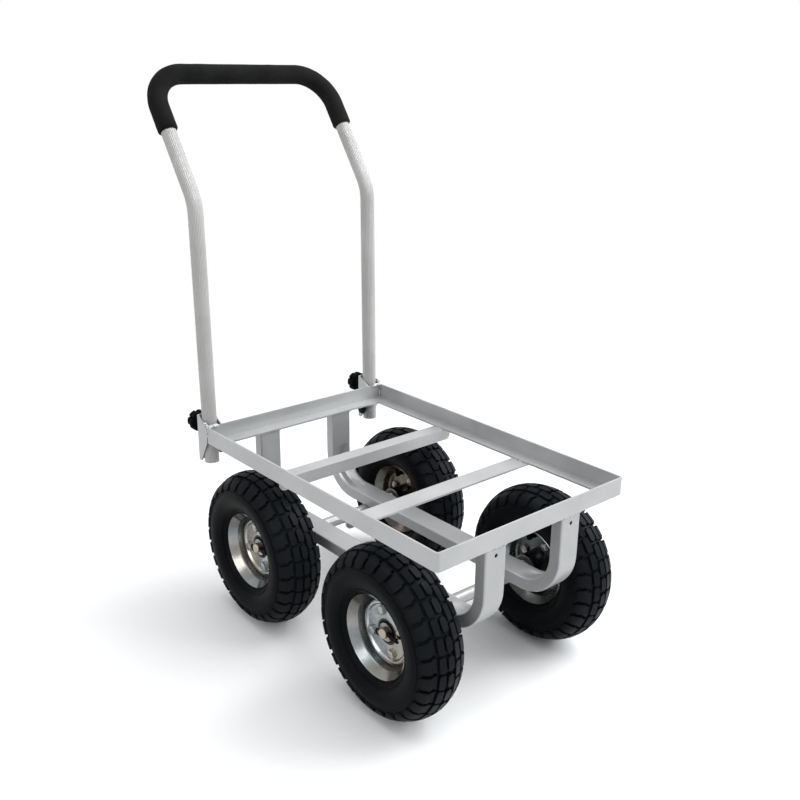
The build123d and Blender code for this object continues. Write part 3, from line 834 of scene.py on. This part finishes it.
foam_grip()
bar_welds()
post_welds()
sleeve_welds()
bracket_welds()
mitre_welds()
nut_welds()
clamp_nuts()
set_screws()
split_pins()
wheels()


def seen_ray(tree):
    """One for camera, glossy and transmission rays, which see the plain white background."""
    path = tree.nodes.new("ShaderNodeLightPath")
    total = path.outputs["Is Camera Ray"]
    for ray in ("Is Glossy Ray", "Is Transmission Ray"):
        node = tree.nodes.new("ShaderNodeMath")
        node.operation = "MAXIMUM"
        tree.links.new(total, node.inputs[0])
        tree.links.new(path.outputs[ray], node.inputs[1])
        total = node.outputs[0]
    return total


def floor():
    """A pale floor that fades to plain white away from the object."""
    mesh = bmesh.new()
    bmesh.ops.create_circle(mesh, cap_ends=True, segments=96, radius=FLOOR_RADIUS)
    data = bpy.data.meshes.new("floor")
    mesh.to_mesh(data)
    mesh.free()
    piece = bpy.data.objects.new("floor", data)
    bpy.context.scene.collection.objects.link(piece)
    surface = Surface("pale_floor", (0.9, 0.9, 0.9), 0.9)
    tree = surface.tree
    seen = seen_ray(tree)
    surface.wear("Base Color", surface.shades(seen, (0.8, 0.8, 0.8), (0.92, 0.92, 0.92), start=0, end=1))
    distance = surface.add("VectorMath", {0: surface.place}, operation="LENGTH").outputs["Value"]
    far = surface.spread(distance, 0.0, 1.0, *FLOOR_FADE)
    mix = surface.add("Math", {0: far, 1: seen}, operation="MULTIPLY")
    white = surface.add("Emission", Color=(*WHITE, 1), Strength=1.0)
    shader = surface.add("MixShader", {"Fac": mix.outputs[0]})
    tree.links.new(surface.shader.outputs[0], shader.inputs[1])
    tree.links.new(white.outputs[0], shader.inputs[2])
    tree.links.new(shader.outputs[0], tree.nodes["Material Output"].inputs["Surface"])
    data.materials.append(surface.material)


def softbox(name, place, aim, size, power, color=WHITE):
    """A square or oblong lamp that points at a place."""
    light = bpy.data.lights.new(name, "AREA")
    light.color = color
    light.shape = "RECTANGLE"
    light.size, light.size_y = size
    light.energy = power
    lamp = bpy.data.objects.new(name, light)
    lamp.location = place
    lamp.rotation_euler = (Vector(aim) - Vector(place)).to_track_quat("-Z", "Y").to_euler()
    bpy.context.scene.collection.objects.link(lamp)


def world():
    """Even cool light from all round, seen as plain white."""
    sky = bpy.data.worlds.new("studio")
    sky.use_nodes = True
    tree = sky.node_tree
    ambient = tree.nodes["Background"]
    ambient.inputs["Color"].default_value = (0.95, 0.97, 1.0, 1)
    ambient.inputs["Strength"].default_value = 0.43
    seen = tree.nodes.new("ShaderNodeBackground")
    seen.inputs["Color"].default_value = (*WHITE, 1)
    mix = tree.nodes.new("ShaderNodeMixShader")
    tree.links.new(seen_ray(tree), mix.inputs["Fac"])
    tree.links.new(ambient.outputs[0], mix.inputs[1])
    tree.links.new(seen.outputs[0], mix.inputs[2])
    tree.links.new(mix.outputs[0], tree.nodes["World Output"].inputs["Surface"])
    bpy.context.scene.world = sky


def camera():
    """The photograph's camera, with its slight roll."""
    data = bpy.data.cameras.new("camera")
    data.lens = CAMERA_LENS
    data.sensor_width = 36
    data.clip_end = 50
    eye = bpy.data.objects.new("camera", data)
    ahead = (CAMERA_AIM - CAMERA_PLACE).normalized()
    right = ahead.cross(Vector((0, 0, 1))).normalized()
    up = right.cross(ahead)
    rolled_right = right * math.cos(CAMERA_ROLL) + up * math.sin(CAMERA_ROLL)
    rolled_up = up * math.cos(CAMERA_ROLL) - right * math.sin(CAMERA_ROLL)
    eye.matrix_world = Matrix(
        (
            (rolled_right.x, rolled_up.x, -ahead.x, CAMERA_PLACE.x),
            (rolled_right.y, rolled_up.y, -ahead.y, CAMERA_PLACE.y),
            (rolled_right.z, rolled_up.z, -ahead.z, CAMERA_PLACE.z),
            (0, 0, 0, 1),
        )
    )
    bpy.context.scene.collection.objects.link(eye)
    bpy.context.scene.camera = eye


floor()
softbox("key", (1.3, -3.0, 2.0), (0, 0, 0.35), (2.2, 1.6), 12)
softbox("side", (1.8, -0.95, 1.9), (0.1, 0.1, 0.6), (2.2, 2.2), 88, (0.95, 0.98, 1))
softbox("fill", (-3.0, -0.6, 1.8), (0, 0, 0.35), (1.8, 1.8), 30)
softbox("top", (0.2, 0.2, 3.2), (0, 0, 0.3), (4.2, 4.2), 72)
world()
camera()
bpy.context.scene.view_settings.view_transform = "Standard"
